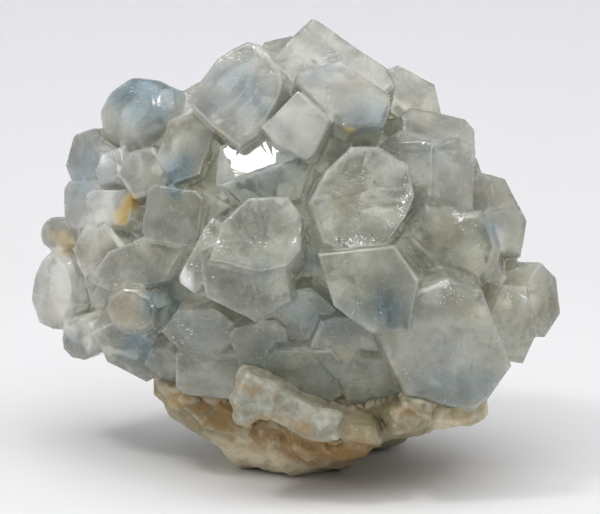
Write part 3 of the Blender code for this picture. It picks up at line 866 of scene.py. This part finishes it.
# The crystals' colours, and their noises, whose offsets only keep them apart.
CRYSTAL_COLOURS = {
    "cool": (0.77, 0.77, 0.70, 1),
    "warm": (0.79, 0.76, 0.62, 1),
    "grey": (0.43, 0.45, 0.38, 1),
    "yellow": (0.72, 0.70, 0.50, 1),
    "milky": (0.87, 0.88, 0.86, 1),
    "cream": (0.66, 0.59, 0.45, 1),
    "veil": (0.86, 0.86, 0.80, 1),
    "painted_rim_light": (0.94, 0.94, 0.86, 1),
    "painted_crevice_shade": (0.74, 0.75, 0.66, 1),
    "blue": (0.24, 0.37, 0.43, 1),
    "azure": (0.19, 0.38, 0.53, 1),
    "frost_and_painted_glare": (0.94, 0.97, 1.0, 1),
    "sugar": (0.98, 0.98, 0.93, 1),
    "line": (0.98, 0.98, 0.95, 1),
    "stain": (0.55, 0.36, 0.06, 1),
    "chips_and_painted_glints": (1.0, 1.0, 0.96, 1),
}
CLOUDS = Grain(3.4, 3, 0.55, 0.6)
FINE_CLOUDS = Grain(0.9, 5, 0.65, 0.8, (7, 3, 5))
WARMTH = Grain(4.2, 2, 0.5, 0.3, (3, 8, 1))
SUGAR = Grain(0.1, 2, 0.6, 0.0, (6, 2, 6))
CRACKS = Grain(2.4, 4, 0.6, 1.4, (6, 6, 1))
SPECK_PATCHES = Grain(1.7, 3, 0.6, 0.4, (2, 7, 7))
SPECKS = Grain(0.14, 2, 0.7, 0.6, (8, 8, 3))
FROSTING = Grain(1.6, 4, 0.6, 0.5, (1, 9, 4))
FINE_RELIEF = Grain(0.22, 3, 0.6, 0.0, (5, 5, 2))
CHIPS = Grain(0.13, 1, 0.5, 0.0, (3, 3, 3))
# How strong each coat of colour is, where its zone is full.
VEIL_FINE_SHARE = 0.5
VEIL_SHARE = 0.45
YELLOW_SHARE = 0.6
PAINTED_RIM_LIGHT_SHARE = 0.45
PAINTED_CREVICE_SHADE_SHARE = 0.2
LINE_SHARE = 0.6
VEILED = Follow(0.55, 1.0)
WARMED = Follow(0.4, 0.62)
GREYED = Follow(0.62, 0.38, 0.6, 1.0)
BLUED = Follow(0.35, 0.6, 0.55, 1.0)
AZURED = Follow(0.3, 0.6, 0.7, 1.0)
SUGARED = Follow(0.42, 0.66, 0.0, 0.28)
STAINED = Follow(0.3, 0.45, 0.4, 1.0)
# A healed crack runs where the noise crosses its middle.
CRACK_MIDDLE = 0.5
CRACKED = Follow(0.012, 0.0, 0.0, 0.5)
# The middle and the spacing of the growth layers in the shoulder crystal, in millimetres.
LAYERS_FROM = (-5.4, 10.6, 7.0)
LAYER_SPACING = 0.62
LAYER_CLOUDING = 0.6
LAYER_LINE = Follow(0.1, 0.0)
# Where specks crowd, and how bright they and the worn edges are painted: near white, partly as painted
# glints.
PATCHED = Follow(0.5, 0.72, 0.0, 0.5)
RIM_CROWDING = 0.5
CROWDED_MORE = 0.2
SPECKLED = Follow(0.73, 0.76)
WEAR_SHARE = 0.6
# How clear the crystals are, and how much less so where something lies on them.
CLEARED = Follow(0.0, 1.0, 0.8, 0.6)
MILKY_COVER = 0.3
CREAM_COVER = 0.4
COVERED = Follow(0.0, 1.0, 1.0, 0.2)
ROUGHENED = Follow(0.4, 0.68, 0.1, 0.3)
SPECK_SHINE = 0.8
SHINING = Follow(0.0, 1.0, 1.0, 0.35)
UNPOLISHED = Follow(0.0, 1.0, 1.0, 0.0)
EUCLASE_IOR = 1.65
HAZE_DEPTH = 1.2
ABSORPTION_COLOUR = (0.60, 0.63, 0.54, 1)
ABSORPTION_DENSITY = 85
FINE_BUMPS = Relief(0.04, 0.3)
CHIP_BUMPS = Relief(0.12, 0.3)
# A chip tilted this way throws the window's light to the front. Chips stray from it by this much.
CHIP_TILT = (direction(*LIGHTS[0].way) + OUT).normalized()
CHIP_LENGTH = 0.3
CHIP_STRAY = (0.4, 0.4, 0.4)
MIDDLE_GREY = (0.5, 0.5, 0.5)


def crystal_lines(look, clouds):
    """Healed cracks, and growth layers in one crystal, as faint pale lines."""
    crack = look.maths("ABSOLUTE", look.maths("SUBTRACT", look.noise(CRACKS), CRACK_MIDDLE))
    reach = look.vector("DISTANCE", look.millimetres, place(*LAYERS_FROM) / MM)
    reach = look.maths("ADD", reach, look.times(clouds, LAYER_CLOUDING))
    layer = look.follow(look.maths("PINGPONG", reach, LAYER_SPACING / 2), LAYER_LINE)
    return look.most(look.follow(crack, CRACKED), look.times(layer, look.stored("layered")))


def chip_normals(look):
    """The chips lie at their own angles, and some of them catch the window."""
    scatter = look.nodes.new("ShaderNodeTexNoise")
    scatter.inputs["Scale"].default_value = 1 / CHIP_LENGTH
    look.feed(look.millimetres, scatter.inputs["Vector"])
    stray = look.vector("SUBTRACT", scatter.outputs["Color"], MIDDLE_GREY)
    tilted = look.vector("ADD", look.vector("MULTIPLY", stray, CHIP_STRAY), CHIP_TILT)
    return look.vector("NORMALIZE", tilted, (0, 0, 0))


def crystal_look():
    look = Look("euclase_haze")
    clouds = look.noise(CLOUDS)
    fine_clouds = look.noise(FINE_CLOUDS)
    painted_rim_light, polish, milky, cream, frost_and_painted_glare, etched_and_painted_glints = [
        look.stored(name) for name in ("painted_rim_light", "polish", "milky", "cream", "frost_and_painted_glare", "etched_and_painted_glints")]
    veils = look.follow(look.maths("ADD", clouds, look.times(fine_clouds, VEIL_FINE_SHARE)), VEILED)
    stain = look.times(look.stored("stain"), look.follow(fine_clouds, STAINED))
    # Etched specks and chips, crowded in some places and on the edges, painted near white: partly real
    # chips, partly painted glints.
    patches = look.follow(look.noise(SPECK_PATCHES), PATCHED)
    crowding = look.most(patches, look.times(painted_rim_light, RIM_CROWDING), etched_and_painted_glints)
    speckling = look.maths("ADD", look.noise(SPECKS), look.times(crowding, CROWDED_MORE))
    specks = look.follow(speckling, SPECKLED)
    chips_and_painted_glints = look.most(specks, look.times(look.stored("edge_wear"), WEAR_SHARE))
    warmth = look.follow(look.noise(WARMTH), WARMED)
    body = look.mix(warmth, CRYSTAL_COLOURS["cool"], CRYSTAL_COLOURS["warm"])
    body = look.coats(body, [
        # Darker grey: partly the crystals' own tone, partly painted shade on the underside.
        ("grey", look.times(look.stored("grey"), look.follow(fine_clouds, GREYED))),
        ("yellow", look.times(look.stored("yellow"), YELLOW_SHARE)),
        ("milky", milky),
        ("cream", cream),
        ("veil", look.times(veils, VEIL_SHARE)),
        # Painted light: a pale band along the outer edges.
        ("painted_rim_light", look.times(painted_rim_light, PAINTED_RIM_LIGHT_SHARE)),
        # Painted shade in the crevices.
        ("painted_crevice_shade", look.times(look.stored("painted_crevice_shade"), PAINTED_CREVICE_SHADE_SHARE)),
        ("blue", look.times(look.stored("blue"), look.follow(fine_clouds, BLUED))),
        ("azure", look.times(look.stored("azure"), look.follow(fine_clouds, AZURED))),
        # Painted reflection, partly real frost: bluish white where facets glare.
        ("frost_and_painted_glare", frost_and_painted_glare),
        ("sugar", look.follow(look.noise(SUGAR), SUGARED)),
        ("line", look.times(crystal_lines(look, clouds), LINE_SHARE)),
        ("stain", stain),
        ("chips_and_painted_glints", chips_and_painted_glints),
    ], CRYSTAL_COLOURS)
    look.feed(body, look.shader.inputs["Base Color"])
    cover = look.most(stain, chips_and_painted_glints, look.times(milky, MILKY_COVER), frost_and_painted_glare, look.times(cream, CREAM_COVER))
    clear = look.times(look.follow(veils, CLEARED), look.follow(cover, COVERED))
    look.feed(clear, look.shader.inputs["Transmission Weight"])
    shine = look.most(polish, look.times(specks, SPECK_SHINE))
    roughness = look.times(look.follow(look.noise(FROSTING), ROUGHENED), look.follow(shine, SHINING))
    look.feed(roughness, look.shader.inputs["Roughness"])
    look.shader.inputs["IOR"].default_value = EUCLASE_IOR
    look.shader.inputs["Subsurface Weight"].default_value = 1.0
    look.shader.inputs["Subsurface Scale"].default_value = HAZE_DEPTH * MM
    look.shader.inputs["Subsurface Radius"].default_value = (1, 1, 1)
    # The mirroring face stays smooth.
    unpolished = look.follow(polish, UNPOLISHED)
    surface = look.bump(look.noise(FINE_RELIEF), FINE_BUMPS, unpolished)
    surface = look.bump(look.noise(CHIPS), CHIP_BUMPS, look.times(unpolished, crowding), surface)
    normal = look.mix(look.times(specks, etched_and_painted_glints), surface, chip_normals(look), "VECTOR")
    look.feed(normal, look.shader.inputs["Normal"])
    absorption = look.nodes.new("ShaderNodeVolumeAbsorption")
    absorption.inputs["Color"].default_value = ABSORPTION_COLOUR
    absorption.inputs["Density"].default_value = ABSORPTION_DENSITY
    look.feed(absorption.outputs["Volume"], look.output.inputs["Volume"])
    return look.material


# The body colours are painted shade: darker than the pale feldspar itself.
FELDSPAR_COLOURS = {
    "shaded_olive": (0.25, 0.22, 0.13, 1),
    "shaded_buff": (0.36, 0.33, 0.21, 1),
    "grain": (0.52, 0.50, 0.40, 1),
    "pale": (0.90, 0.81, 0.60, 1),
    "ice": (0.29, 0.30, 0.25, 1),
    "pale_ice": (0.44, 0.45, 0.39, 1),
    "rust": (0.34, 0.20, 0.06, 1),
    "worn": (0.72, 0.71, 0.64, 1),
}
MOTTLE = Grain(1.5, 5, 0.65, 0.5)
GRAINS = Grain(0.45, 4, 0.6, 0.4, (4, 1, 7))
SEAMS = Grain(2.3, 4, 0.6, 1.2, (9, 6, 3))
FELDSPAR_GRIT = Grain(0.16, 4, 0.65, 0.0, (2, 2, 8))
MOTTLED = Follow(0.35, 0.7)
GRAINED = Follow(0.52, 0.72, 0.0, 0.5)
ICED = Follow(0.35, 0.65)
RUSTED = Follow(0.3, 0.55)
SEAMED = Follow(0.46, 0.62)
SEAM_SHARE = 0.25
PALE_SHARE = 0.9
ICY_SHARE = 0.85
WORN_SHARE = 0.22
FELDSPAR_ROUGHNESS = Follow(0.3, 0.7, 0.7, 0.35)
FELDSPAR_HAZE = 0.5
FELDSPAR_HAZE_DEPTH = 0.7
FELDSPAR_HAZE_COLOUR = (1.0, 0.8, 0.55)
FELDSPAR_BUMPS = Relief(0.06, 0.6)


def feldspar_look():
    look = Look("feldspar_cream")
    mottle = look.noise(MOTTLE)
    grains = look.noise(GRAINS)
    colours = FELDSPAR_COLOURS
    # Painted shade: a darker body for the pale feldspar.
    body = look.mix(look.follow(mottle, MOTTLED), colours["shaded_olive"], colours["shaded_buff"])
    body = look.coats(body, [
        ("grain", look.follow(grains, GRAINED)),
        ("pale", look.times(look.stored("pale"), PALE_SHARE)),
    ], colours)
    ice = look.mix(look.follow(grains, ICED), colours["ice"], colours["pale_ice"])
    body = look.mix(look.times(look.stored("icy"), ICY_SHARE), body, ice)
    seams = look.times(look.follow(look.noise(SEAMS), SEAMED), SEAM_SHARE)
    rust = look.most(look.times(look.stored("rust"), look.follow(mottle, RUSTED)), seams)
    body = look.coats(body, [
        ("rust", rust),
        ("worn", look.times(look.stored("edge_wear"), WORN_SHARE)),
    ], colours)
    look.feed(body, look.shader.inputs["Base Color"])
    look.feed(look.follow(grains, FELDSPAR_ROUGHNESS), look.shader.inputs["Roughness"])
    look.shader.inputs["Subsurface Weight"].default_value = FELDSPAR_HAZE
    look.shader.inputs["Subsurface Scale"].default_value = FELDSPAR_HAZE_DEPTH * MM
    look.shader.inputs["Subsurface Radius"].default_value = FELDSPAR_HAZE_COLOUR
    look.feed(look.bump(look.noise(FELDSPAR_GRIT), FELDSPAR_BUMPS), look.shader.inputs["Normal"])
    return look.material


def finish_piece(piece, node, look):
    piece.data.materials.clear()
    piece.data.materials.append(look)
    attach(piece, "root")
    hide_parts(node)


bpy.context.scene.view_settings.view_transform = "Standard"
make_camera()
make_lights()
make_air()
make_floor()
crystals = shape_crystals()
matrix = shape_matrix(crystals)
finish_piece(crystals, "euclase_crystals", crystal_look())
finish_piece(matrix, "matrix", feldspar_look())
